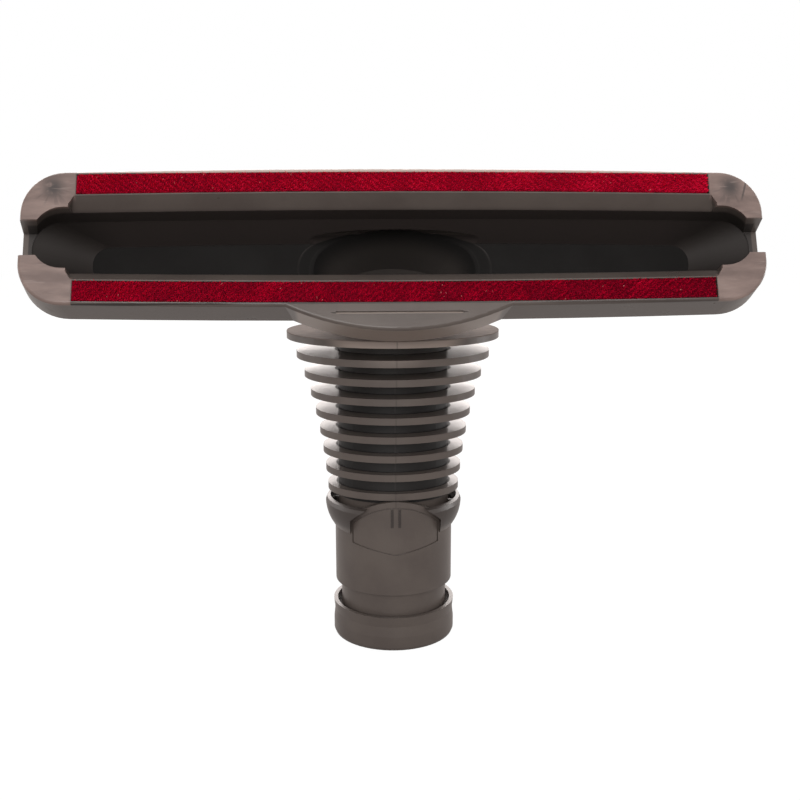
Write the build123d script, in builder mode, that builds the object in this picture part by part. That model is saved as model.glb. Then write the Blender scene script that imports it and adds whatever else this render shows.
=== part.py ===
from build123d import *
import math
import os

# Vacuum upholstery tool: a wide slotted head on a finned neck, with a round
# spigot that plugs into a wand or hose. Millimetres, Z up along the neck,
# X along the head. The mouth looks towards -Y and a little upwards.
# The origin is the centre of the spigot's open end.

# Head
head_length = 175.8        # end to end at the face
rim_height = 34.2          # across both lips at the face, in the middle
rim_crown = 1.2            # how far each long side bows out in the middle
rim_corner = 10.0          # corner radius of the face's outline
rim_depth = 10.0           # side wall behind the face
rim_flare = 2.2            # how much wider each end is at the wall's back
rim_rise = 0.65            # the same for the long sides
rim_edge = 0.8             # rounding of the face's outer edge
head_tilt = 22.5           # degrees that the mouth looks upwards
mouth_reach = 32.4         # mouth centre in front of the neck's axis
mouth_rise = 112.2         # mouth centre above the spigot's end
hull_depth = 24.0          # face to the back of the head's hull
hull_middle = 17.5         # face to the hull's middle section
hull_inset = 4.6           # how far its ends come in by the middle
hull_drop = 3.9            # how far its long sides come in by the middle
hull_corner = 8.0
back_inset = 8.4           # the same from the middle to the back
back_drop = 5.6

# Mouth slot and the trough behind it
end_wall = 2.8             # slot's end to the head's end, at the face
back_wall = 2.1            # the same at the back of the side wall
lip_height = 8.9           # slot's edge to the outer edge of each lip
slot_crown = 0.85
slot_corner = 7.0
slot_step = 4.0            # depth of the lips' bevel
trough_depth = 20.0        # face to the trough's floor
trough_inset = 12.0        # how far the trough's ends come in
trough_drop = 2.7          # how far its long sides come in
trough_corner = 4.4
bevel_rise = 2.7           # how far the bevel cuts back each lip
bevel_run = 1.65           # how far the bevel's ends lean out to the slot
notch_width = 8.7          # air notch in each end of the rim
notch_depth = 9.6
notch_corner = 1.0
corner_limit = 0.95        # most of a short side that its two corners may take

# Pile strips and their recesses
pad_length = 9.9           # slot's end to the strip's end
strip_width = 4.7
strip_height = 2.0         # base cloth and pile together
strip_gap = 0.15           # clearance round a strip
strip_rib = 0.3            # thin rib between bevel and recess
recess_depth = 1.5

# Chin: the round swelling of the lower lip over the neck
chin_radius = 62.0
chin_proud = 5.9           # its lowest point below the lower lip's edge
chin_rim = 2.2             # rim left round the pocket in it
pocket_height = 2.2        # pocket between the slit and the rim
pocket_depth = 0.4
slit_half = 14.8
slit_width = 0.5
slit_depth = 0.9

# Neck
core_half_width = 15.4     # at its foot
core_half_depth = 12.5
core_taper = 0.5           # how much narrower it is at the head
neck_wall = 2.2
bend_radius = 20.0
fin_count = 9
fin_foot = 2.96            # middle of the lowest fin above the shoulder
fin_pitch = 5.28
fin_thickness = 1.85
fin_least = 0.6            # overhang that the fins fade to
fin_most = 12.75           # what the top fin has beyond that
fin_fade = 0.8             # each fin's extra overhang over the one above

# Throat: the bend above the fins, which widens into the head
mid_half_width = 17.0      # halfway round the bend
mid_half_depth = 12.4
end_half_width = 23.0      # at the bend's end
end_half_height = 13.2
end_drop = 1.2             # how far it lies below the mouth's axis
throat_half_height = 16.0  # where it meets the chin
throat_share = 0.72        # share of the way from the bend's end to the face
duct_half_width = 44.0     # inside, where it opens into the trough
duct_half_height = 6.4
duct_share = 0.45          # share of the way from the bend's end to the face

# Spigot
spigot_radius = 16.3
spigot_wall = 3.5
bore_rise = 30.0           # the bore is round up to here
collar_height = 9.8
collar_proud = 0.7         # how far the collar stands out from the body
collar_land = 3.0          # straight wall above the bevelled lower edge
collar_waist = 0.3         # hollow of the collar's side above that
collar_edge = 1.2          # lower edge, bevelled in two steps
collar_turn = 0.35         # where the steps meet
collar_lip = 1.1           # wall round the pocket behind the collar
collar_pocket = 2.8        # depth of that pocket
groove_height = 6.2        # between the collar and the body
groove_depth = 1.6
body_height = 15.8

# Shoulder: a dished flange with webs inside
shoulder_proud = 2.6       # how far its edge stands out from the body
shoulder_swell = 1.85      # the same halfway down
shoulder_half = 3.2        # body to halfway
shoulder_rise = 7.0        # body to the widest point
shoulder_round = 1.4       # from there to the top, bevelled in two steps
shoulder_turn = 0.4        # where the steps meet
shoulder_lip = 1.3
dish_depth = 5.7
web_count = 10
web_thickness = 0.9
web_drop = 2.2             # shoulder's top to the webs' top

# Boss in front of the shoulder, with a panel line and an index mark
boss_half = 12.2
boss_lift = 1.9            # top of its arch above the shoulder
boss_spring = 5.7          # height of its arch
boss_wall = 1.3
panel_gap = 0.6            # arch of the boss to the panel's sides
panel_drop = 1.5           # top of the boss to the top of the panel
panel_spring = 5.4
panel_side = 5.6           # height of the panel's upright sides
panel_point = 2.4          # how far it comes to a point below them
panel_round = 4.0
panel_line = 0.35
panel_depth = 0.3
mark_length = 4.6
mark_width = 0.55
mark_gap = 2.0             # between the two ribs of the mark
mark_proud = 0.25

tilt = math.radians(head_tilt)
mouth = Plane(
    origin=(0, -mouth_reach, mouth_rise),
    x_dir=(1, 0, 0),
    z_dir=(0, -math.cos(tilt), math.sin(tilt)),
)
mouth_axis = Axis(mouth.origin, mouth.z_dir)

# the bend turns the neck's axis into the mouth's axis
bend_angle = 90 - head_tilt
bend_turn = math.radians(bend_angle)
bend_depth = (mouth_reach - bend_radius * (1 - math.cos(bend_turn))) / math.cos(tilt)
bend_foot = mouth_rise - bend_depth * math.sin(tilt) - bend_radius * math.sin(bend_turn)

# levels of the spigot and shoulder, from the open end up
bore_radius = spigot_radius - spigot_wall
groove_radius = spigot_radius - groove_depth
collar_radius = spigot_radius + collar_proud
land_top = collar_edge + collar_land
pocket_floor = collar_height - collar_pocket
spigot_foot = collar_height + groove_height
shoulder_foot = spigot_foot + body_height
shoulder_radius = spigot_radius + shoulder_proud
shoulder_edge = shoulder_foot + shoulder_rise
shoulder_top = shoulder_edge + shoulder_round
dish_floor = shoulder_top - dish_depth
boss_top = shoulder_top + boss_lift
panel_top = boss_top - panel_drop

# sizes of the head, from the outside in
rim_back_length = head_length + 2 * rim_flare
rim_back_height = rim_height + 2 * rim_rise
hull_mid_length = rim_back_length - 2 * hull_inset
hull_mid_height = rim_back_height - 2 * hull_drop
slot_length = head_length - 2 * end_wall
slot_height = rim_height - 2 * lip_height
slot_back_length = rim_back_length - 2 * back_wall
bevel_height = slot_height + 2 * bevel_rise
strip_length = slot_length - 2 * pad_length
recess_length = strip_length + 2 * strip_gap
recess_inner = bevel_height + 2 * strip_rib
recess_outer = recess_inner + 2 * (strip_width + 2 * strip_gap)
chin_drop = rim_height / 2 + chin_proud
slit_drop = chin_drop - chin_rim - pocket_height
throat_drop = chin_drop - throat_half_height
throat_half_width = math.sqrt(chin_radius * throat_half_height)


def bend_plane(share):
    # plane across the bend, a share of the way from its foot to its end
    turn = bend_turn * share
    return Plane(
        origin=(0, bend_radius * (math.cos(turn) - 1), bend_foot + bend_radius * math.sin(turn)),
        x_dir=(1, 0, 0),
        z_dir=(0, -math.sin(turn), math.cos(turn)),
    )


def throat_plane(share):
    # plane along the mouth's axis, a share of the way from the bend to the face
    return mouth.offset(-bend_depth * (1 - share))


def barrel(length, height, crown, corner):
    # rounded rectangle whose long sides bow out by the crown
    x, y = length / 2, height / 2
    with BuildSketch(mode=Mode.PRIVATE) as outline:
        with BuildLine():
            ThreePointArc((-x, y - crown), (0, y), (x, y - crown))
            Line((x, y - crown), (x, crown - y))
            ThreePointArc((x, crown - y), (0, -y), (-x, crown - y))
            Line((-x, crown - y), (-x, y - crown))
        make_face()
        fillet(outline.vertices(), min(corner, corner_limit * (y - crown)))
    return outline.sketch


def oval(half_width, half_depth):
    # oval of four arcs, each tangent to the next
    reach = math.hypot(half_width, half_depth)
    x = (reach + half_width - half_depth) / 2
    y = (reach - half_width + half_depth) / 2
    with BuildSketch(mode=Mode.PRIVATE) as outline:
        with BuildLine():
            ThreePointArc((x, y), (0, half_depth), (-x, y))
            ThreePointArc((-x, y), (-half_width, 0), (-x, -y))
            ThreePointArc((-x, -y), (0, -half_depth), (x, -y))
            ThreePointArc((x, -y), (half_width, 0), (x, y))
        make_face()
    return outline.sketch


def lip_bands(length, inner, outer):
    # one band on each lip, between an inner and an outer barrel
    with BuildSketch(mode=Mode.PRIVATE) as bands:
        add(barrel(slot_length, outer, slot_crown, slot_corner))
        add(barrel(slot_length, inner, slot_crown, slot_corner), mode=Mode.SUBTRACT)
        Rectangle(length, rim_height, mode=Mode.INTERSECT)
    return bands.sketch


def arched(half, top, spring, foot):
    # upright arch on the front plane, with square feet
    with BuildSketch(mode=Mode.PRIVATE) as outline:
        with BuildLine():
            ThreePointArc((-half, top - spring), (0, top), (half, top - spring))
            Polyline((half, top - spring), (half, foot), (-half, foot), (-half, top - spring))
        make_face()
    return outline.sketch


def panel(inset):
    # six-sided panel with an arched top and a shallow point below
    half = boss_half - panel_gap
    upper = panel_top - panel_spring
    lower = upper - panel_side
    with BuildSketch(mode=Mode.PRIVATE) as outline:
        with BuildLine():
            ThreePointArc((-half, upper), (0, panel_top), (half, upper))
            Line((half, upper), (half, lower))
            FilletPolyline((half, lower), (0, lower - panel_point), (-half, lower), radius=panel_round)
            Line((-half, lower), (-half, upper))
        make_face()
        if inset:
            offset(amount=-inset, kind=Kind.INTERSECTION)
    return outline.sketch


def fin(index):
    # flat oval disc round the neck, the top one first
    overhang = fin_least + fin_most * fin_fade**index
    middle = shoulder_top + fin_foot + (fin_count - 1 - index) * fin_pitch
    with BuildPart() as disc:
        with BuildSketch(Plane.XY.offset(middle - fin_thickness / 2)):
            add(oval(core_half_width + overhang, core_half_depth + overhang))
        extrude(amount=fin_thickness)
    return disc.part


def band(inner, outer):
    # plain ring round the neck's axis, beside the body, shoulder and boss
    with BuildPart() as ring:
        with BuildSketch(Plane.XY.offset(spigot_foot)):
            Circle(outer)
            Circle(inner, mode=Mode.SUBTRACT)
        extrude(amount=boss_top - spigot_foot)
    return ring.part


fins = [fin(index) for index in range(fin_count)]
front_band = band(spigot_radius, shoulder_radius + shoulder_proud)
boss_band = band(spigot_radius - boss_wall, spigot_radius)
panel_band = band(spigot_radius - panel_depth, shoulder_radius)
mark_band = band(spigot_radius - boss_wall, spigot_radius + mark_proud)

# Bevel between the two lips, from the slot's edge out to the recesses
with BuildPart() as bevel:
    with BuildSketch(mouth):
        add(barrel(slot_length, bevel_height, slot_crown, slot_corner))
    with BuildSketch(mouth.offset(-slot_step)):
        add(barrel(slot_length, slot_height, slot_crown, slot_corner))
    loft()
    with BuildSketch(mouth):
        Rectangle(recess_length, rim_height)
        with BuildLine():
            Polyline(
                (recess_length / 2, bevel_height / 2),
                (recess_length / 2 + bevel_run, slot_height / 2),
                (recess_length / 2 + bevel_run, -slot_height / 2),
                (recess_length / 2, -bevel_height / 2),
                (-recess_length / 2, -bevel_height / 2),
                (-recess_length / 2 - bevel_run, -slot_height / 2),
                (-recess_length / 2 - bevel_run, slot_height / 2),
                (-recess_length / 2, bevel_height / 2),
                close=True,
            )
        make_face()
    extrude(amount=-slot_step, mode=Mode.INTERSECT)

# Slot and trough
with BuildPart() as trough:
    with BuildSketch(mouth):
        add(barrel(slot_length, slot_height, slot_crown, slot_corner))
    with BuildSketch(mouth.offset(-rim_depth)):
        add(barrel(slot_back_length, slot_height, slot_crown, slot_corner))
    loft(ruled=True)
    with BuildSketch(mouth.offset(-rim_depth)):
        add(barrel(slot_back_length, slot_height, slot_crown, slot_corner))
    with BuildSketch(mouth.offset(-trough_depth)):
        add(
            barrel(
                slot_back_length - 2 * trough_inset,
                slot_height - 2 * trough_drop,
                slot_crown,
                trough_corner,
            )
        )
    loft(ruled=True)
    add(bevel.part)

# Duct from the spigot's mouth through the bend to the trough
with BuildPart() as duct:
    with BuildSketch():
        Circle(bore_radius)
    extrude(amount=bore_rise)
    with BuildSketch(Plane.XY.offset(bore_rise)):
        add(oval(bore_radius, bore_radius))
    with BuildSketch(Plane.XY.offset(boss_top)):
        add(oval(core_half_width - neck_wall, core_half_depth - neck_wall))
    with BuildSketch(bend_plane(0)):
        add(oval(core_half_width - core_taper - neck_wall, core_half_depth - core_taper - neck_wall))
    loft(ruled=True)
    with BuildSketch(bend_plane(0)):
        add(oval(core_half_width - core_taper - neck_wall, core_half_depth - core_taper - neck_wall))
    with BuildSketch(bend_plane(0.5)):
        add(oval(mid_half_width - neck_wall, mid_half_depth - neck_wall))
    with BuildSketch(bend_plane(1)):
        with Locations((0, -end_drop)):
            add(oval(end_half_width - neck_wall, end_half_height - neck_wall))
    with BuildSketch(throat_plane(duct_share)):
        add(oval(duct_half_width, duct_half_height))
    loft(ruled=True)

# Head: flared rim, hull, and the chin under the lower lip
with BuildPart() as head:
    with BuildSketch(mouth):
        add(barrel(head_length, rim_height, rim_crown, rim_corner))
    with BuildSketch(mouth.offset(-rim_depth)):
        add(barrel(rim_back_length, rim_back_height, rim_crown, rim_corner + rim_flare))
    loft(ruled=True)
    with BuildSketch(mouth):
        with Locations((0, chin_radius - chin_drop)):
            Circle(chin_radius)
        Rectangle(2 * chin_radius, chin_drop, align=(Align.CENTER, Align.MAX), mode=Mode.INTERSECT)
    extrude(amount=-rim_depth)
    fillet(head.faces().sort_by(mouth_axis)[-1].edges(), rim_edge)
    with BuildSketch(mouth.offset(-rim_depth)):
        add(barrel(rim_back_length, rim_back_height, rim_crown, rim_corner + rim_flare))
    with BuildSketch(mouth.offset(-hull_middle)):
        add(barrel(hull_mid_length, hull_mid_height, rim_crown, rim_corner))
    with BuildSketch(mouth.offset(-hull_depth)):
        add(
            barrel(
                hull_mid_length - 2 * back_inset,
                hull_mid_height - 2 * back_drop,
                rim_crown,
                hull_corner,
            )
        )
    loft(ruled=True)

# Neck: core, throat and fins
with BuildPart() as neck:
    with BuildSketch(Plane.XY.offset(shoulder_foot)):
        add(oval(core_half_width, core_half_depth))
    with BuildSketch(bend_plane(0)):
        add(oval(core_half_width - core_taper, core_half_depth - core_taper))
    loft(ruled=True)
    with BuildSketch(bend_plane(0)):
        add(oval(core_half_width - core_taper, core_half_depth - core_taper))
    with BuildSketch(bend_plane(0.5)):
        add(oval(mid_half_width, mid_half_depth))
    with BuildSketch(bend_plane(1)):
        with Locations((0, -end_drop)):
            add(oval(end_half_width, end_half_height))
    with BuildSketch(throat_plane(throat_share)):
        with Locations((0, -throat_drop)):
            add(oval(throat_half_width, throat_half_height))
    loft()
    add(fins)

# Spigot: collar, groove, body and the dished shoulder, turned as one
with BuildPart() as spigot:
    with BuildSketch(Plane.XZ):
        with BuildLine():
            Polyline(
                (0, 0),
                (collar_radius - collar_edge, 0),
                (collar_radius - collar_turn, collar_turn),
                (collar_radius, collar_edge),
                (collar_radius, land_top),
                (collar_radius - collar_waist, (land_top + collar_height) / 2),
                (collar_radius, collar_height),
                (collar_radius - collar_lip, collar_height),
                (collar_radius - collar_lip, pocket_floor),
                (groove_radius, pocket_floor),
                (groove_radius, spigot_foot),
                (spigot_radius, spigot_foot),
                (spigot_radius, shoulder_foot),
            )
            ThreePointArc(
                (spigot_radius, shoulder_foot),
                (spigot_radius + shoulder_swell, shoulder_foot + shoulder_half),
                (shoulder_radius, shoulder_edge),
            )
            Polyline(
                (shoulder_radius, shoulder_edge),
                (shoulder_radius - shoulder_turn, shoulder_top - shoulder_turn),
                (shoulder_radius - shoulder_lip, shoulder_top),
                (spigot_radius, dish_floor),
                (0, dish_floor),
                (0, 0),
            )
        make_face()
    revolve(axis=Axis.Z)

# Webs in the dish, from the core to the flange
with BuildPart() as webs:
    with BuildSketch(Plane.XZ):
        with BuildLine():
            Polyline(
                (0, shoulder_foot),
                (spigot_radius, shoulder_foot),
                (shoulder_radius - shoulder_lip, shoulder_top - web_drop),
                (0, shoulder_top - web_drop),
                close=True,
            )
        make_face()
    extrude(amount=web_thickness / 2, both=True)
    web = webs.part
    with PolarLocations(0, web_count, start_angle=180 / web_count):
        add(web)

# Front of the shoulder that gives way to the boss
with BuildPart() as front_gap:
    with BuildSketch(Plane.XZ):
        add(arched(boss_half, boss_top, boss_spring, shoulder_foot))
    extrude(amount=shoulder_radius + shoulder_proud)
    add(front_band, mode=Mode.INTERSECT)

# Boss: an arch of wall on the spigot's radius, with its panel line and mark
with BuildPart() as boss:
    with BuildSketch(Plane.XZ):
        add(arched(boss_half, boss_top, boss_spring, shoulder_foot))
    extrude(amount=shoulder_radius)
    add(boss_band, mode=Mode.INTERSECT)

with BuildPart() as panel_groove:
    with BuildSketch(Plane.XZ):
        add(panel(0))
        add(panel(panel_line), mode=Mode.SUBTRACT)
    extrude(amount=shoulder_radius)
    add(panel_band, mode=Mode.INTERSECT)

with BuildPart() as index_mark:
    with BuildSketch(Plane.XZ):
        with Locations((0, panel_top - panel_line - mark_length / 2)):
            with GridLocations(mark_gap, 0, 2, 1):
                Rectangle(mark_width, mark_length)
    extrude(amount=shoulder_radius)
    add(mark_band, mode=Mode.INTERSECT)

# Tool body: one moulding from the mouth to the spigot
with BuildPart() as tool_body:
    add(head.part)
    add(neck.part)
    add(spigot.part)
    add(webs.part)
    add(front_gap.part, mode=Mode.SUBTRACT)
    add(boss.part)
    add(panel_groove.part, mode=Mode.SUBTRACT)
    add(index_mark.part)
    add(duct.part, mode=Mode.SUBTRACT)
    add(trough.part, mode=Mode.SUBTRACT)
    with BuildSketch(mouth):
        add(lip_bands(recess_length, recess_inner, recess_outer))
    extrude(amount=-recess_depth, mode=Mode.SUBTRACT)
    with BuildSketch(mouth):
        with GridLocations(slot_back_length, 0, 2, 1):
            RectangleRounded(2 * (back_wall + rim_flare + slot_corner / 2), notch_width, notch_corner)
    extrude(amount=-notch_depth, mode=Mode.SUBTRACT)
    with BuildSketch(mouth):
        with Locations((0, chin_radius - chin_drop)):
            Circle(chin_radius - chin_rim)
        with Locations((0, -slit_drop)):
            Rectangle(
                2 * chin_radius, chin_drop, align=(Align.CENTER, Align.MAX), mode=Mode.INTERSECT
            )
    extrude(amount=-pocket_depth, mode=Mode.SUBTRACT)
    with BuildSketch(mouth):
        with Locations((0, -slit_drop)):
            Rectangle(2 * slit_half, slit_width)
    extrude(amount=-slit_depth, mode=Mode.SUBTRACT)

# Pile strips, one in each lip's recess
with BuildPart() as strips:
    with BuildSketch(mouth.offset(-recess_depth)):
        add(lip_bands(strip_length, recess_inner + 2 * strip_gap, recess_outer - 2 * strip_gap))
    extrude(amount=strip_height)

strip_lower, strip_upper = strips.solids().sort_by(Axis.Z)

tool_body.part.label = "tool_body"
strip_upper.label = "pile_strip_upper"
strip_lower.label = "pile_strip_lower"

if __name__ == "__main__":
    os.makedirs("parts", exist_ok=True)
    export_step(tool_body.part, "parts/tool_body.step")
    export_step(strip_upper, "parts/pile_strip_upper.step")
    export_step(strip_lower, "parts/pile_strip_lower.step")
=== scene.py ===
import math

import bpy
import numpy as np
from mathutils import Matrix, Vector


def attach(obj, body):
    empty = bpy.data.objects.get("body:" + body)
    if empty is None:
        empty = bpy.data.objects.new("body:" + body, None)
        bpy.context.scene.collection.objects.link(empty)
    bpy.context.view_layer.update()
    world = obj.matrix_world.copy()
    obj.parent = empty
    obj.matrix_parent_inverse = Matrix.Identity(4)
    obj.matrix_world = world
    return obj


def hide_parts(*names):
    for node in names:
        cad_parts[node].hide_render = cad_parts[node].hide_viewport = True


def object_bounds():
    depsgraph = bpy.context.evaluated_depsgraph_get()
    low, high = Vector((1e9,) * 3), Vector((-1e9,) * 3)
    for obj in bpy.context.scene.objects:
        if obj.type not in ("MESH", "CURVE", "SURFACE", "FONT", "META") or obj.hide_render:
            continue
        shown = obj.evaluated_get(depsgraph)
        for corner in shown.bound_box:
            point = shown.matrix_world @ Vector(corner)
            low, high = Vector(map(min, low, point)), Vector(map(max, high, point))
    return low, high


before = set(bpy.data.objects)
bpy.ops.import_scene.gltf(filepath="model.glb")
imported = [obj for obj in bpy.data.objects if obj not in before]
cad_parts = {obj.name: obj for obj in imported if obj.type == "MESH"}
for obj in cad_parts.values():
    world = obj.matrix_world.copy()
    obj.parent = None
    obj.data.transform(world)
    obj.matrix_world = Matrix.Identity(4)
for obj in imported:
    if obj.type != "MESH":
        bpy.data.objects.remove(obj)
cadBox = [list(corner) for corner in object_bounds()]
print("frame loaded:", ", ".join(sorted(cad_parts)))

# the mouth's plane: its centre, and how far it looks upwards
mouth = dict(y=-0.0324, z=0.1122, tilt=math.radians(22.5))
mouthCentre = np.array([0.0, mouth["y"], mouth["z"]])
mouthOut = np.array([0.0, -math.cos(mouth["tilt"]), math.sin(mouth["tilt"])])
mouthUp = np.array([0.0, math.sin(mouth["tilt"]), math.cos(mouth["tilt"])])


def fromMouth(x, out, up):
    # a place along the head, out of the mouth's plane and up in it, turned into world coordinates
    x, out, up = np.broadcast_arrays(x, out, up)
    along = np.stack([x, np.zeros_like(x), np.zeros_like(x)], axis=-1)
    return mouthCentre + along + out[..., None] * mouthOut + up[..., None] * mouthUp


# node helpers

def addNode(tree, kind, inputs=None, **settings):
    node = tree.nodes.new(kind)
    for name, value in settings.items():
        setattr(node, name, value)
    for key, value in (inputs or {}).items():
        if isinstance(value, bpy.types.NodeSocket):
            tree.links.new(value, node.inputs[key])
        else:
            node.inputs[key].default_value = value
    return node


def calc(tree, operation, first, second=0.0, clamp=False):
    node = addNode(tree, "ShaderNodeMath", {0: first, 1: second}, operation=operation, use_clamp=clamp)
    return node.outputs[0]


def vectorCalc(tree, operation, first, constant):
    return addNode(tree, "ShaderNodeVectorMath", {0: first, 1: tuple(constant)}, operation=operation)


def distance(tree, first, second):
    squares = calc(tree, "MULTIPLY", first, first), calc(tree, "MULTIPLY", second, second)
    return calc(tree, "SQRT", calc(tree, "ADD", *squares))


def oval(tree, first, second, halfFirst, halfSecond):
    # 1 on an oval with these two half widths, less inside it and more outside
    return distance(tree, calc(tree, "DIVIDE", first, halfFirst), calc(tree, "DIVIDE", second, halfSecond))


def ramp(tree, value, low, high, start=0.0, end=1.0):
    # a smooth step from start to end while the value goes from low to high
    node = addNode(
        tree,
        "ShaderNodeMapRange",
        {"Value": value, "From Min": low, "From Max": high, "To Min": start, "To Max": end},
        interpolation_type="SMOOTHSTEP",
    )
    return node.outputs[0]


def joinMasks(tree, operation, parts):
    # a part is a mask, a plain weight, or a pair: a value and the limits (and levels) of its smooth step
    masks = [ramp(tree, part[0], *part[1]) if isinstance(part, tuple) else part for part in parts]
    joined = masks[0]
    for mask in masks[1:]:
        joined = calc(tree, operation, joined, mask)
    return joined


def product(tree, *parts):
    return joinMasks(tree, "MULTIPLY", parts)


def strongest(tree, *parts):
    return joinMasks(tree, "MAXIMUM", parts)


def blendColours(tree, factor, first, second):
    node = addNode(tree, "ShaderNodeMix", {0: factor, 6: first, 7: second}, data_type="RGBA")
    return node.outputs[2]


def noise(tree, coords, scale=1.0, detail=2.0):
    node = addNode(tree, "ShaderNodeTexNoise", {"Vector": coords, "Scale": scale, "Detail": detail})
    return node.outputs[0]


def newGroup(name, inputs, outputs):
    group = bpy.data.node_groups.new(name, "ShaderNodeTree")
    for socketName, kind, value in inputs:
        socket = group.interface.new_socket(name=socketName, in_out="INPUT", socket_type=kind)
        socket.default_value = value
    for socketName, kind in outputs:
        group.interface.new_socket(name=socketName, in_out="OUTPUT", socket_type=kind)
    return group, group.nodes.new("NodeGroupInput"), group.nodes.new("NodeGroupOutput")


def newMaterial(name):
    material = bpy.data.materials.new(name)
    material.use_nodes = True
    tree = material.node_tree
    return material, tree, tree.nodes["Principled BSDF"]


def linear(red, green, blue):
    # a colour as it looks on the screen, 0 to 255, turned into linear light
    def one(level):
        share = level / 255
        return share / 12.92 if share <= 0.04045 else ((share + 0.055) / 1.055) ** 2.4
    return one(red), one(green), one(blue), 1.0


# effects as node groups

effects = dict(
    pitScale=2600.0,
    patchScale=70.0,
    scuffScale=(160.0, 3200.0, 700.0),
    scuffStep=(0.62, 0.72),   # the noise shows as scratches above these levels
)


def mouthPlaceGroup():
    # where a point lies along the head, out of the mouth's plane and up in it, in metres
    axes = dict(Along=(1.0, 0.0, 0.0), Out=mouthOut, Up=mouthUp)
    group, _, result = newGroup("mouthPlace", [], [(name, "NodeSocketFloat") for name in axes])
    coords = addNode(group, "ShaderNodeTexCoord").outputs["Object"]
    offset = vectorCalc(group, "SUBTRACT", coords, mouthCentre).outputs["Vector"]
    for name, axis in axes.items():
        share = vectorCalc(group, "DOT_PRODUCT", offset, axis).outputs["Value"]
        group.links.new(share, result.inputs[name])
    return group


def mouldGrainGroup():
    # fine pits of a moulded surface, with slow changes of tone
    group, source, result = newGroup(
        "mouldGrain",
        [
            ("Pit Scale", "NodeSocketFloat", effects["pitScale"]),
            ("Patch Scale", "NodeSocketFloat", effects["patchScale"]),
        ],
        [("Height", "NodeSocketFloat"), ("Tone", "NodeSocketFloat")],
    )
    coords = addNode(group, "ShaderNodeTexCoord").outputs["Object"]
    pits = addNode(
        group, "ShaderNodeTexNoise",
        {"Vector": coords, "Scale": source.outputs["Pit Scale"], "Detail": 3.0, "Roughness": 0.6},
    )
    patches = addNode(
        group, "ShaderNodeTexNoise",
        {"Vector": coords, "Scale": source.outputs["Patch Scale"], "Detail": 4.0, "Roughness": 0.55},
    )
    group.links.new(pits.outputs[0], result.inputs["Height"])
    group.links.new(patches.outputs[0], result.inputs["Tone"])
    return group


def scuffGroup():
    # hair-thin scratches: noise stretched along one way, cut to its peaks
    group, source, result = newGroup(
        "scuffs",
        [("Turn", "NodeSocketVector", (0.0, 0.0, 0.0)), ("Amount", "NodeSocketFloat", 0.5)],
        [("Mask", "NodeSocketFloat")],
    )
    coords = addNode(group, "ShaderNodeTexCoord").outputs["Object"]
    turned = addNode(
        group, "ShaderNodeMapping",
        {"Vector": coords, "Rotation": source.outputs["Turn"], "Scale": effects["scuffScale"]},
    )
    peaks = ramp(group, noise(group, turned.outputs[0]), *effects["scuffStep"])
    mask = calc(group, "MULTIPLY", peaks, source.outputs["Amount"], clamp=True)
    group.links.new(mask, result.inputs["Mask"])
    return group


mouthPlace = mouthPlaceGroup()
mouldGrain = mouldGrainGroup()
scuffs = scuffGroup()
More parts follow.
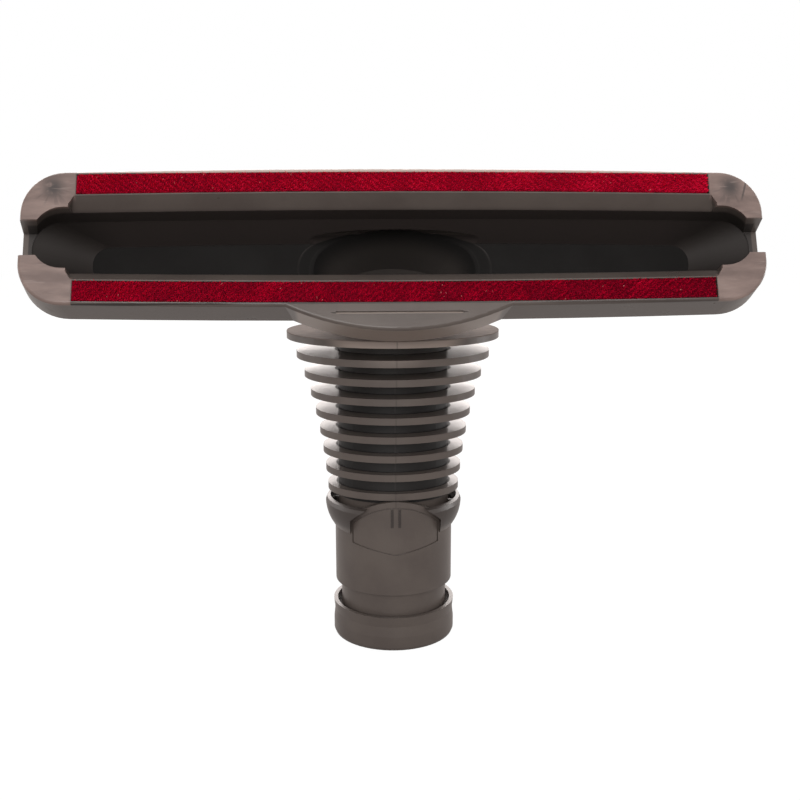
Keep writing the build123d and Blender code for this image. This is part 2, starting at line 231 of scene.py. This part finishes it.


# moulded body: dark warm grey, with painted shade in the trough, between the fins and on the shoulder, and
# painted reflection on the corner pads and the top fin

# lengths are in metres; where a mask uses a pair, it is 0 at the first number and 1 at the second
bodyLook = dict(
    plain=linear(84, 76, 72),
    plainLight=linear(92, 84, 79),
    toneStep=(0.3, 0.7),
    shine=0.4,
    roughStep=(0.25, 0.75),
    roughness=(0.27, 0.34),
    pitStrength=0.25,
    pitDepth=0.00006,
    cloudScale=420.0,
    mottleStep=(0.25, 0.75),
    faceStep=(-0.0016, -0.0004),      # out of the mouth's plane: where the face starts

    # corner pads: painted reflection, paler in slanted streaks, with real scratches
    padStep=(0.0753, 0.0757),         # away from the head's middle
    padReflection=linear(108, 92, 87),
    padReflectionPale=linear(142, 123, 116),
    padDull=0.05,
    paleStreakTurn=(0.2, 0.8, 0.0),
    paleStreakScale=(90.0, 300.0, 340.0),
    scratch=linear(148, 132, 126),
    scratchTurn=(0.4, 0.9, 0.5),
    scratchAmount=0.45,

    # painted highlight: a pale ledge above the upper strip
    ledgeHighlight=linear(180, 164, 154),
    ledgeFoot=(0.0158, 0.0160),
    ledgeEnds=(0.0757, 0.0753),

    # painted shadow: a dark line below the lower strip
    shadowLine=linear(44, 38, 36),
    shadowLineTop=(-0.01600, -0.01610),
    shadowLineFoot=(-0.01660, -0.01645),
    shadowLineEnds=(0.0756, 0.0753),
    shadowLineFade=(-0.06, 0.06, 0.95, 0.45),    # from the left to the right, and the weight at each

    # painted light: the underside of the head, behind the lower lip, made lighter
    chinWallLight=linear(146, 133, 125),
    chinTop=(-0.0178, -0.0184),
    chinFront=(-0.0004, -0.0010),
    chinBack=(-0.022, -0.018),

    # painted dark reflection on each of the upper pads, and a dark hairline on the right one
    darkReflectionAndNick=linear(58, 54, 54),
    darkReflectionPlace=(0.0806, 0.0122),     # away from the head's middle and up
    darkReflectionReach=(0.0040, 0.0003),
    darkReflectionClouds=(0.22, 0.46),
    darkReflectionWeight=0.9,
    streakTurns=3.6,                  # how finely the streaks divide the turn round the mark
    streakRings=90.0,                 # and the way out from it
    streakStep=(0.48, 0.60),
    streakReach=(0.0062, 0.0010),
    streakTop=(0.0010, -0.0006),
    streakWeight=0.6,
    nickFrom=(0.0852, 0.0156),        # along and up
    nickTo=(0.0831, 0.0088),
    nickWidth=(0.00035, 0.00010),
    nickStart=(-0.1, 0.1),            # shares of the way
    nickEnd=(1.1, 0.8),
    nickWeight=0.7,

    # painted shade: the trough behind the slot, darker towards its ends and nearly black on its floor
    wallShade=linear(60, 54, 52),
    wallEndShade=linear(42, 38, 36),
    wallEndStep=(0.066, 0.080),       # away from the head's middle
    wallDull=(0.10, 0.20),
    floor=linear(10, 8, 7),
    deepDull=0.60,
    troughHeight=(0.0103, 0.0100),    # up or down from the mouth's long middle line
    troughFront=(-0.0030, -0.0048),
    troughBack=(-0.0215, -0.0212),
    troughEdge=(0.0, 0.0003),
    troughEnd=0.0865,                 # half length at the face, from where the walls go outwards
    troughFlare=0.25,
    drawnEnd=0.0978,                  # the same for the walls that go inwards, further back
    drawnSlope=0.9,
    innerFacing=(-0.06, -0.01),       # what faces away from the mouth is an outer wall
    innerDepth=(-0.0120, -0.0110),
    floorFacing=(0.80, 0.95),         # what faces the mouth this deep is the floor
    floorDepth=(-0.018, -0.019),
    middleSide=(0.058, 0.050),        # and so is all that lies deeper near the head's middle
    middleDepth=(-0.0197, -0.0203),

    # painted shade: the inside of the neck's bend
    bend=linear(56, 51, 48),
    bendRadius=0.020,                 # of its middle line
    bendFoot=0.0854,
    bendHalfWidth=0.0185,
    bendHalfDepth=0.0113,
    bendEdge=(1.01, 0.99),
    bendLift=(0.002, 0.004),          # above its foot
    bendMouth=(-0.0205, -0.0215),     # behind the mouth's plane, as is the next
    bendShade=(-0.022, -0.031),
    spreadFacing=(0.12, 0.25),
    spreadHeight=(0.0090, 0.0080),
    spreadSide=(0.048, 0.046),

    # neck between the fins, with painted shade that darkens towards its foot, and the top fin, with a
    # painted reflection
    coreTop=linear(48, 44, 41),
    coreFoot=linear(14, 12, 11),
    coreShade=(0.066, 0.088),         # height above the floor, as all that ends in From or To
    coreHalfWidth=0.0154,
    coreHalfDepth=0.0125,
    coreEdge=(1.045, 1.015),
    coreFrom=(0.0405, 0.0408),
    coreTo=(0.0871, 0.0868),
    coreDull=0.25,
    partingWidth=(0.00030, 0.00008),
    partingFront=(-0.008, -0.010),
    partingWeight=0.35,
    # painted reflection: the top fin's upper face lighter than the body, mottled
    topFin=linear(122, 110, 103),
    topFinDark=linear(108, 97, 91),
    topFinFrom=(0.0860, 0.0862),
    topFinTo=(0.0867, 0.0865),
    topFinEdge=(1.015, 1.045),
    topFinDull=0.60,

    # painted shade on the shoulder, and the index mark on the boss
    shoulder=linear(64, 58, 55),
    shoulderEdge=(0.0164, 0.0168),    # from the neck's axis
    shoulderFrom=(0.0325, 0.0345),
    shoulderTo=(0.0406, 0.0403),
    mark=linear(50, 45, 43),
    markHalfGap=0.0010,
    markWidth=(0.00042, 0.00034),
    markFront=(-0.0140, -0.0150),
    markFrom=(0.0349, 0.0351),
    markTo=(0.0402, 0.0400),
    markWeight=0.8,
)


def bodyPlaces(tree):
    # what the masks read: places in the tool and on the head, the way a surface faces, and noises
    texture = addNode(tree, "ShaderNodeTexCoord")
    coords = texture.outputs["Object"]
    head = addNode(tree, "ShaderNodeGroup", node_tree=mouthPlace).outputs
    grain = addNode(tree, "ShaderNodeGroup", node_tree=mouldGrain).outputs
    x, y, z = addNode(tree, "ShaderNodeSeparateXYZ", {0: coords}).outputs
    facing = vectorCalc(tree, "DOT_PRODUCT", texture.outputs["Normal"], mouthOut)
    return dict(
        coords=coords,
        x=x,
        y=y,
        z=z,
        along=head["Along"],
        out=head["Out"],
        up=head["Up"],
        fromMiddle=calc(tree, "ABSOLUTE", head["Along"]),     # towards either end
        fromLine=calc(tree, "ABSOLUTE", head["Up"]),          # towards either lip
        facing=facing.outputs["Value"],
        cloud=noise(tree, coords, bodyLook["cloudScale"], detail=3.0),
        tone=grain["Tone"],
        pits=grain["Height"],
    )


def darkReflectionMask(tree, at):
    # painted dark reflections, with streaks that fan out below them: noise on the turn round a mark and the
    # way out
    look = bodyLook
    reflectionAlong, reflectionUp = look["darkReflectionPlace"]
    awayAlong = calc(tree, "SUBTRACT", at["fromMiddle"], reflectionAlong)
    awayUp = calc(tree, "SUBTRACT", at["up"], reflectionUp)
    away = distance(tree, awayAlong, awayUp)
    reflectionCloud = product(tree, (away, look["darkReflectionReach"]), (at["cloud"], look["darkReflectionClouds"]))
    turn = calc(tree, "ARCTAN2", awayAlong, calc(tree, "MULTIPLY", awayUp, -1.0))
    fan = addNode(
        tree, "ShaderNodeCombineXYZ",
        {0: product(tree, turn, look["streakTurns"]), 1: product(tree, away, look["streakRings"])},
    )
    streaks = product(
        tree,
        (noise(tree, fan.outputs[0]), look["streakStep"]),
        (away, look["streakReach"]),
        (awayUp, look["streakTop"]),
        look["streakWeight"],
    )
    return product(tree, strongest(tree, reflectionCloud, streaks), look["darkReflectionWeight"])


def nickMask(tree, at):
    # a line between two points: the share of the way down it, and how far a place lies beside it
    look = bodyLook
    (fromX, fromUp), (toX, toUp) = look["nickFrom"], look["nickTo"]
    share = calc(tree, "DIVIDE", calc(tree, "SUBTRACT", at["up"], fromUp), toUp - fromUp)
    lineX = calc(tree, "ADD", fromX, calc(tree, "MULTIPLY", share, toX - fromX))
    beside = calc(tree, "ABSOLUTE", calc(tree, "SUBTRACT", at["along"], lineX))
    return product(
        tree,
        (beside, look["nickWidth"]),
        (share, look["nickStart"]),
        (share, look["nickEnd"]),
        look["nickWeight"],
    )


def padColour(tree, at):
    look = bodyLook
    # painted reflection: the pads paler than the body, lighter still in slanted streaks
    slanted = addNode(
        tree, "ShaderNodeMapping",
        {"Vector": at["coords"], "Rotation": look["paleStreakTurn"], "Scale": look["paleStreakScale"]},
    )
    paleStreaks = ramp(tree, noise(tree, slanted.outputs[0], detail=3.0), *look["mottleStep"])
    colour = blendColours(tree, paleStreaks, look["padReflection"], look["padReflectionPale"])
    # painted dark reflection on the upper pads; the hairline takes the same dark colour
    colour = blendColours(tree, darkReflectionMask(tree, at), colour, look["darkReflectionAndNick"])
    colour = blendColours(tree, nickMask(tree, at), colour, look["darkReflectionAndNick"])
    scratches = addNode(
        tree, "ShaderNodeGroup",
        {"Turn": look["scratchTurn"], "Amount": look["scratchAmount"]}, node_tree=scuffs,
    )
    return blendColours(tree, scratches.outputs["Mask"], colour, look["scratch"])


def troughMasks(tree, at):
    # a box whose ends follow the walls, first outwards and then inwards, and the floor in it
    look = bodyLook
    out = at["out"]
    flared = calc(tree, "SUBTRACT", look["troughEnd"], calc(tree, "MULTIPLY", out, look["troughFlare"]))
    drawnIn = calc(tree, "ADD", look["drawnEnd"], calc(tree, "MULTIPLY", out, look["drawnSlope"]))
    spare = calc(tree, "SUBTRACT", calc(tree, "MINIMUM", flared, drawnIn), at["fromMiddle"])
    trough = product(
        tree,
        (at["fromLine"], look["troughHeight"]),
        (out, look["troughFront"]),
        (out, look["troughBack"]),
        (spare, look["troughEdge"]),
        strongest(tree, (at["facing"], look["innerFacing"]), (out, look["innerDepth"])),
    )
    flat = product(tree, (at["facing"], look["floorFacing"]), (out, look["floorDepth"]))
    middle = product(tree, (at["fromMiddle"], look["middleSide"]), (out, look["middleDepth"]))
    return trough, product(tree, trough, strongest(tree, flat, middle))


def bendMask(tree, at):
    # an oval round the arc that the middle line follows; its mouth spreads sideways into the trough
    look = bodyLook
    back = calc(tree, "ADD", at["y"], look["bendRadius"])
    lift = calc(tree, "SUBTRACT", at["z"], look["bendFoot"])
    offArc = calc(tree, "SUBTRACT", distance(tree, back, lift), look["bendRadius"])
    inside = oval(tree, offArc, at["x"], look["bendHalfDepth"], look["bendHalfWidth"])
    bend = product(
        tree, (inside, look["bendEdge"]), (lift, look["bendLift"]), (at["out"], look["bendMouth"])
    )
    spread = product(
        tree,
        (at["facing"], look["spreadFacing"]),
        (at["out"], look["bendMouth"]),
        (at["fromLine"], look["spreadHeight"]),
        (at["fromMiddle"], look["spreadSide"]),
    )
    return strongest(tree, bend, spread)


def neckMasks(tree, at):
    # the core as an oval round the neck's axis, the parting line down its front, the top fin's upper face
    look = bodyLook
    fromAxis = oval(tree, at["x"], at["y"], look["coreHalfWidth"], look["coreHalfDepth"])
    between = product(tree, (at["z"], look["coreFrom"]), (at["z"], look["coreTo"]))
    core = product(tree, (fromAxis, look["coreEdge"]), between)
    parting = product(
        tree,
        (calc(tree, "ABSOLUTE", at["x"]), look["partingWidth"]),
        (at["y"], look["partingFront"]),
        between,
        look["partingWeight"],
    )
    topFin = product(
        tree, (at["z"], look["topFinFrom"]), (at["z"], look["topFinTo"]), (fromAxis, look["topFinEdge"])
    )
    return core, parting, topFin


def markMask(tree, at):
    # two short upright ribs, one on each side of the boss's middle
    look = bodyLook
    fromRib = calc(tree, "SUBTRACT", calc(tree, "ABSOLUTE", at["x"]), look["markHalfGap"])
    return product(
        tree,
        (calc(tree, "ABSOLUTE", fromRib), look["markWidth"]),
        (at["y"], look["markFront"]),
        (at["z"], look["markFrom"]),
        (at["z"], look["markTo"]),
        look["markWeight"],
    )


def bodyMaterial():
    look = bodyLook
    material, tree, shader = newMaterial("bodyPlastic")
    at = bodyPlaces(tree)
    onFace = ramp(tree, at["out"], *look["faceStep"])
    pads = product(tree, onFace, (at["fromMiddle"], look["padStep"]))
    # painted highlight on the ledge above the upper strip
    ledgeHighlight = product(tree, onFace, (at["up"], look["ledgeFoot"]), (at["fromMiddle"], look["ledgeEnds"]))
    # painted shadow below the lower strip, fading from left to right
    shadowLineMask = product(
        tree,
        onFace,
        (at["up"], look["shadowLineTop"]),
        (at["up"], look["shadowLineFoot"]),
        (at["fromMiddle"], look["shadowLineEnds"]),
        (at["along"], look["shadowLineFade"]),
    )
    # painted light under the chin
    chinWallLight = product(
        tree, (at["up"], look["chinTop"]), (at["out"], look["chinFront"]), (at["out"], look["chinBack"])
    )
    # painted shade in the trough and on its floor
    trough, troughFloor = troughMasks(tree, at)
    # painted shade inside the neck's bend
    bend = bendMask(tree, at)
    # painted shade on the core between the fins; painted reflection on the top fin
    core, parting, topFin = neckMasks(tree, at)
    # painted shade on the shoulder
    shoulder = product(
        tree,
        (distance(tree, at["x"], at["y"]), look["shoulderEdge"]),
        (at["z"], look["shoulderFrom"]),
        (at["z"], look["shoulderTo"]),
    )

    def shaded(value, step, first, second):
        return blendColours(tree, ramp(tree, at[value], *look[step]), look[first], look[second])

    # colours are laid over each other, the last one on top
    colour = shaded("tone", "toneStep", "plain", "plainLight")
    # painted light among these layers: reflection on the pads and top fin, a highlight on the ledge, light
    # under the chin; painted shadow below the lower strip; painted shade in the trough, bend, core and
    # shoulder
    for mask, over in (
        (pads, padColour(tree, at)),
        (ledgeHighlight, look["ledgeHighlight"]),
        (shadowLineMask, look["shadowLine"]),
        (chinWallLight, look["chinWallLight"]),
        (trough, shaded("fromMiddle", "wallEndStep", "wallShade", "wallEndShade")),
        (troughFloor, look["floor"]),
        (bend, shaded("out", "bendShade", "floor", "bend")),
        (core, shaded("z", "coreShade", "coreFoot", "coreTop")),
        (parting, look["mark"]),
        (topFin, shaded("cloud", "mottleStep", "topFin", "topFinDark")),
        (shoulder, look["shoulder"]),
        (markMask(tree, at), look["mark"]),
    ):
        colour = blendColours(tree, mask, colour, over)
    tree.links.new(colour, shader.inputs["Base Color"])

    # the inside, the core and the top fin are dull, so that they stay dark or even
    rough = ramp(tree, at["tone"], *look["roughStep"], *look["roughness"])
    rough = calc(tree, "ADD", rough, product(tree, pads, look["padDull"]))
    dull = strongest(
        tree,
        product(tree, trough, (at["fromMiddle"], look["wallEndStep"] + look["wallDull"])),
        product(tree, core, look["coreDull"]),
        product(tree, strongest(tree, troughFloor, bend), look["deepDull"]),
        product(tree, topFin, look["topFinDull"]),
    )
    tree.links.new(calc(tree, "ADD", rough, dull, clamp=True), shader.inputs["Roughness"])
    shader.inputs["Specular IOR Level"].default_value = look["shine"]
    bump = addNode(
        tree, "ShaderNodeBump",
        {"Strength": look["pitStrength"], "Distance": look["pitDepth"], "Height": at["pits"]},
    )
    tree.links.new(bump.outputs[0], shader.inputs["Normal"])
    return material


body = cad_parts["tool_body"]
body.data.materials.clear()
body.data.materials.append(bodyMaterial())
print("body finished")


# pile strips: a base cloth with short leaning tufts in slanting rows

pile = dict(
    half=0.0751,              # half of a strip's length
    inner=0.01135,            # from the mouth's middle to the strip's near edge
    width=0.0047,
    crown=0.00085,            # how far the strip bows towards its ends
    crownSpan=0.0851,
    shift=-0.0002,            # the strips sit a little to the left in their recesses
    floor=-0.0015,            # the recess's floor behind the face

    # base cloth
    cloth=-0.0002,            # its top, and how much higher that is in the middle
    clothCrown=0.0001,
    stations=181,
    ragged=0.00008,           # how much its edges wander, and over which length
    raggedScale=0.0016,
    clothTone=0.1,

    # tufts, in lines along the strip, every second one set off by half a pitch
    pitch=0.00030,
    acrossShare=0.87,         # the pitch across the strip, as a share of that along it
    edgeShare=0.6,            # the same for the first line's place
    scatter=0.2,              # of each tuft, as a share of the pitch
    rowTurn=math.radians(52),
    rowPitch=0.00118,
    rowWander=0.8,
    rowWanderScale=0.009,
    patchScale=0.012,
    tuftSides=3,
    tuftRadius=0.00013,
    tuftRise=0.00085,
    riseRow=0.18,             # how far the rows, the patches and chance change a tuft's rise
    risePatch=0.10,
    riseChance=0.14,
    leanAlong=(0.00012, 0.000075, 0.00012),   # lean of all, of the patches and by chance
    leanUp=(-0.00010, 0.00010, 0.00010),      # lean of all, of the rows and by chance
    sunk=0.00005,             # how deep the roots stand in the cloth
    # the rings' tones are painted shade at the roots and painted light at the tips
    rings=((0.0, 1.0, -0.35), (0.55, 0.85, 0.0), (1.0, 0.12, 0.22)),    # share of the rise, width, tone
    flecks=26,                # pale stray tufts on each strip
    fleckTone=2.0,
    seed=7,

    # tone: 0 is deep and 1 is bright; the strips' levels below are painted light and shade, the upper strip
    # lighter than the lower, each changing from one end to the other
    upperShade=(0.50, 0.57),  # at the left end and at the right end
    lowerShade=(0.34, 0.12),
    toneRow=0.15,             # how far the rows, the patches and chance change it
    tonePatch=0.06,
    toneChance=0.14,
    deep=linear(120, 0, 30),
    red=linear(222, 0, 54),
    bright=linear(255, 34, 84),
    pale=linear(238, 150, 148),
    redStep=(0.05, 0.5),
    brightStep=(0.55, 1.0),
    paleStep=(1.3, 1.7),
    fibreScale=2400.0,
    fibreWeight=0.5,
    roughness=0.75,
    shine=0.08,
    sheen=0.05,
    sheenRoughness=0.4,
    sheenTint=linear(235, 40, 70),
)


def smoothNoise(points, scale, rng, waves=14):
    # a sum of waves with random directions, wavelengths near the scale and random phases, about -1 to 1
    turns = rng.uniform(0, math.tau, waves)
    sizes = scale * rng.uniform(0.6, 1.6, waves)
    phases = rng.uniform(0, math.tau, waves)
    along = points[:, 0:1] * np.cos(turns) + points[:, 1:2] * np.sin(turns)
    return np.sin(math.tau * along / sizes + phases).sum(axis=1) / math.sqrt(waves)


def nearEdge(x):
    # from the mouth's middle line to a strip, less towards its ends by a parabola
    return pile["inner"] - pile["crown"] * (x / pile["crownSpan"]) ** 2


def stripBase(side, rng):
    # closed band: a loop of five corners carried along the head, closed at both ends
    x = np.linspace(-pile["half"], pile["half"], pile["stations"])
    ragged = pile["ragged"] * smoothNoise(np.stack([x, np.zeros_like(x)], axis=1), pile["raggedScale"], rng)
    near = nearEdge(x)
    far = near + pile["width"]
    loop = [
        (near, pile["floor"]),
        (near - ragged, pile["cloth"]),
        ((near + far) / 2, pile["cloth"] + pile["clothCrown"]),
        (far + ragged, pile["cloth"]),
        (far, pile["floor"]),
    ]
    rings = np.stack([fromMouth(x, out, side * up) for up, out in loop], axis=1)
    count, corners = rings.shape[:2]
    index = np.arange(count * corners).reshape(count, corners)
    here, there = index[:-1], index[1:]
    around = [(j, (j + 1) % corners) for j in range(corners)]
    quads = np.concatenate(
        [np.stack([here[:, a], there[:, a], there[:, b], here[:, b]], axis=1) for a, b in around]
    )
    caps = np.stack([index[0], index[-1][::-1]])
    if side < 0:
        quads, caps = quads[:, ::-1], caps[:, ::-1]
    return rings.reshape(-1, 3), quads.tolist() + caps.tolist()


def stripTufts(side, shade, first, rng):
    # each tuft is a three-sided spike with one bend: a root ring, a ring halfway and a tip
    pitch = pile["pitch"]
    across = np.arange(pitch * pile["edgeShare"], pile["width"], pitch * pile["acrossShare"])
    along = np.arange(pitch - pile["half"], pile["half"], pitch)
    x, up = np.meshgrid(along, across, indexing="ij")
    x = (x + (np.arange(across.size) % 2) * pitch / 2).ravel()
    up = up.ravel()
    count = x.size
    x = x + rng.normal(0, pile["scatter"], count) * pitch
    up = np.clip(up + rng.normal(0, pile["scatter"], count) * pitch, 0.0, pile["width"])
    place = np.stack([x, up], axis=1)
    slant = x * math.cos(pile["rowTurn"]) + up * math.sin(pile["rowTurn"])
    wander = pile["rowWander"] * smoothNoise(place, pile["rowWanderScale"], rng)
    row = np.sin(math.tau * slant / pile["rowPitch"] + wander)
    patch = smoothNoise(place, pile["patchScale"], rng)
    change = pile["riseRow"] * row + pile["risePatch"] * patch + rng.normal(0, pile["riseChance"], count)
    rise = pile["tuftRise"] * (1 + change)
    lean, patchLean, chanceLean = pile["leanAlong"]
    leanX = lean + patchLean * patch + rng.normal(0, chanceLean, count)
    lean, rowLean, chanceLean = pile["leanUp"]
    leanUp = lean + rowLean * row + rng.normal(0, chanceLean, count)
    sides = pile["tuftSides"]
    corner = rng.uniform(0, math.tau, count)[:, None] + np.arange(sides) * math.tau / sides
    ringX = np.cos(corner) * pile["tuftRadius"]
    ringUp = np.sin(corner) * pile["tuftRadius"]

    def ring(share, width):
        middleX = x + leanX * share**2
        middleUp = up + leanUp * share**2 + nearEdge(x)
        out = pile["cloth"] - pile["sunk"] + rise * share
        return fromMouth(
            middleX[:, None] + ringX * width, out[:, None], side * (middleUp[:, None] + ringUp * width)
        )

    points = np.concatenate([ring(share, width) for share, width, _ in pile["rings"]], axis=1)
    perTuft = points.shape[1]
    start = (first + np.arange(count) * perTuft)[:, None, None]
    walls = [
        [low + j, low + (j + 1) % sides, low + sides + (j + 1) % sides, low + sides + j]
        for low in range(0, perTuft - sides, sides)
        for j in range(sides)
    ]
    ends = [range(perTuft - sides, perTuft), range(sides - 1, -1, -1)]
    quads = (start + np.array(walls)).reshape(-1, 4)
    triangles = (start + np.array(ends)).reshape(-1, 3)
    if side < 0:
        quads, triangles = quads[:, ::-1], triangles[:, ::-1]
    # painted light and shade: each strip's level runs from its left end to its right end
    atLeft, atRight = shade
    tone = atLeft + (atRight - atLeft) * (x / pile["half"] + 1) / 2
    tone += pile["toneRow"] * row + pile["tonePatch"] * patch + rng.normal(0, pile["toneChance"], count)
    # painted shade at the roots, painted light at the tips
    levels = np.repeat([level for _, _, level in pile["rings"]], sides)
    tone = np.clip(tone[:, None] + levels, 0, 1)
    tone[rng.choice(count, pile["flecks"], replace=False)] = pile["fleckTone"]
    return points.reshape(-1, 3), quads.tolist() + triangles.tolist(), tone.ravel()


def pileMaterial():
    material, tree, shader = newMaterial("crimsonPile")
    tone = addNode(tree, "ShaderNodeAttribute", attribute_name="tone").outputs["Fac"]
    coords = addNode(tree, "ShaderNodeTexCoord").outputs["Object"]
    fibre = calc(tree, "SUBTRACT", noise(tree, coords, pile["fibreScale"]), 0.5)
    mixed = calc(tree, "ADD", tone, calc(tree, "MULTIPLY", fibre, pile["fibreWeight"]), clamp=True)
    colour = blendColours(tree, ramp(tree, mixed, *pile["redStep"]), pile["deep"], pile["red"])
    colour = blendColours(tree, ramp(tree, mixed, *pile["brightStep"]), colour, pile["bright"])
    colour = blendColours(tree, ramp(tree, tone, *pile["paleStep"]), colour, pile["pale"])
    tree.links.new(colour, shader.inputs["Base Color"])
    shader.inputs["Roughness"].default_value = pile["roughness"]
    shader.inputs["Specular IOR Level"].default_value = pile["shine"]
    shader.inputs["Sheen Weight"].default_value = pile["sheen"]
    shader.inputs["Sheen Roughness"].default_value = pile["sheenRoughness"]
    shader.inputs["Sheen Tint"].default_value = pile["sheenTint"]
    return material


def makePile(name, node, side, shade, material, seed):
    rng = np.random.default_rng(seed)
    basePoints, baseFaces = stripBase(side, rng)
    tuftPoints, tuftFaces, tuftTone = stripTufts(side, shade, len(basePoints), rng)
    points = np.concatenate([basePoints, tuftPoints])
    points[:, 0] += pile["shift"]
    tone = np.concatenate([np.full(len(basePoints), pile["clothTone"]), tuftTone])
    mesh = bpy.data.meshes.new(name)
    mesh.from_pydata(points.tolist(), [], baseFaces + tuftFaces)
    layer = mesh.attributes.new("tone", "FLOAT", "POINT")
    layer.data.foreach_set("value", tone.astype(np.float32))
    mesh.materials.append(material)
    mesh.update()
    strip = bpy.data.objects.new(name, mesh)
    bpy.context.scene.collection.objects.link(strip)
    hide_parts(node)
    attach(strip, "root")


crimson = pileMaterial()
makePile("pile_upper", "pile_strip_upper", 1, pile["upperShade"], crimson, pile["seed"])
makePile("pile_lower", "pile_strip_lower", -1, pile["lowerShade"], crimson, pile["seed"] + 1)
print("pile strips made")


# studio: white all round for the camera, plain soft light on the object

studio = dict(
    floorSize=3.0,
    floorColour=(0.34, 0.325, 0.315, 1.0),
    floorRoughness=0.9,
    floorGlow=0.88,           # how much of the floor the camera sees as plain white
    floorShine=0.24,          # the same for its reflection in the object
    glow=1.12,
    worldColour=(1.0, 0.985, 0.975, 1.0),
    worldLight=0.36,
    white=(1.0, 1.0, 1.0, 1.0),
    warm=(1.0, 0.93, 0.90, 1.0),  # what the object reflects of its white surroundings
    lampColour=(1.0, 0.98, 0.97, 1.0),
    lamps=(                   # name, place, size, power and colour
        ("keyLamp", (-0.08, -0.92, 0.40), (0.8, 0.5), 6.2, "lampColour"),
        ("topLamp", (0.0, 0.20, 0.95), (0.8, 0.6), 2.5, "lampColour"),
        ("backPanel", (0.0, 0.85, 0.42), (2.2, 0.62), 15.0, "warm"),
        ("leftPanel", (-0.85, 0.12, 0.04), (0.5, 0.3), 1.2, "lampColour"),
        ("rightPanel", (0.85, 0.12, 0.04), (0.5, 0.3), 2.2, "lampColour"),
    ),
    aim=(0.0, -0.01, 0.08),
)


def seenSurroundings(tree):
    # which rays see the surroundings, and their colour: white for the camera, warm in reflections
    path = addNode(tree, "ShaderNodeLightPath").outputs
    colour = blendColours(tree, path["Is Camera Ray"], studio["warm"], studio["white"])
    return path, colour


def makeFloor():
    half = studio["floorSize"] / 2
    low = cadBox[0][2]
    corners = [(-half, -half, low), (half, -half, low), (half, half, low), (-half, half, low)]
    mesh = bpy.data.meshes.new("floor")
    mesh.from_pydata(corners, [], [(0, 1, 2, 3)])
    floor = bpy.data.objects.new("floor", mesh)
    bpy.context.scene.collection.objects.link(floor)
    material, tree, shader = newMaterial("paleFloor")
    shader.inputs["Base Color"].default_value = studio["floorColour"]
    shader.inputs["Roughness"].default_value = studio["floorRoughness"]
    shader.inputs["Specular IOR Level"].default_value = 0.0
    path, colour = seenSurroundings(tree)
    glow = addNode(tree, "ShaderNodeEmission", {"Color": colour, "Strength": studio["glow"]})
    share = strongest(
        tree,
        product(tree, path["Is Camera Ray"], studio["floorGlow"]),
        product(tree, path["Is Glossy Ray"], studio["floorShine"]),
    )
    both = addNode(tree, "ShaderNodeMixShader", {0: share, 1: shader.outputs[0], 2: glow.outputs[0]})
    tree.links.new(both.outputs[0], tree.nodes["Material Output"].inputs["Surface"])
    mesh.materials.append(material)


def makeWorld():
    # white for rays that show the surroundings, plain soft light for the rest
    world = bpy.data.worlds.new("studioWorld")
    bpy.context.scene.world = world
    world.use_nodes = True
    tree = world.node_tree
    plain = tree.nodes["Background"]
    plain.inputs["Color"].default_value = studio["worldColour"]
    plain.inputs["Strength"].default_value = studio["worldLight"]
    path, colour = seenSurroundings(tree)
    bright = addNode(tree, "ShaderNodeBackground", {"Color": colour, "Strength": 1.0})
    seen = strongest(tree, path["Is Camera Ray"], path["Is Glossy Ray"], path["Is Transmission Ray"])
    both = addNode(tree, "ShaderNodeMixShader", {0: seen, 1: plain.outputs[0], 2: bright.outputs[0]})
    tree.links.new(both.outputs[0], tree.nodes["World Output"].inputs["Surface"])


def makeLamps():
    for name, place, size, power, colour in studio["lamps"]:
        lamp = bpy.data.lights.new(name, "AREA")
        lamp.shape = "RECTANGLE"
        lamp.size, lamp.size_y = size
        lamp.energy = power
        lamp.color = studio[colour][:3]
        holder = bpy.data.objects.new(name, lamp)
        bpy.context.scene.collection.objects.link(holder)
        holder.location = place
        towards = Vector(studio["aim"]) - Vector(place)
        holder.rotation_euler = towards.to_track_quat("-Z", "Y").to_euler()
        holder.visible_camera = False


# camera, fitted to the photo

photoView = dict(
    place=(-0.01156, -0.27064, 0.11905),
    pitch=math.radians(10.964),   # looks down by this much
    yaw=math.radians(2.854),      # turned to the right
    roll=math.radians(-0.104),
    lens=45.0,
    sensor=36.0,
    nearest=0.01,
)


def makeCamera():
    yaw, pitch, roll = photoView["yaw"], photoView["pitch"], photoView["roll"]
    ahead = Vector((math.sin(yaw) * math.cos(pitch), math.cos(yaw) * math.cos(pitch), -math.sin(pitch)))
    right = Vector((math.cos(yaw), -math.sin(yaw), 0.0))
    above = right.cross(ahead)
    turnedRight = right * math.cos(roll) + above * math.sin(roll)
    turnedAbove = above * math.cos(roll) - right * math.sin(roll)
    lens = bpy.data.cameras.new("photoCamera")
    lens.lens = photoView["lens"]
    lens.sensor_width = photoView["sensor"]
    lens.clip_start = photoView["nearest"]
    camera = bpy.data.objects.new("photoCamera", lens)
    bpy.context.scene.collection.objects.link(camera)
    turn = Matrix((turnedRight, turnedAbove, -ahead)).transposed().to_4x4()
    camera.matrix_world = Matrix.Translation(photoView["place"]) @ turn
    bpy.context.scene.camera = camera


makeFloor()
makeWorld()
makeLamps()
makeCamera()
bpy.context.scene.view_settings.view_transform = "Standard"
print("studio and camera placed")
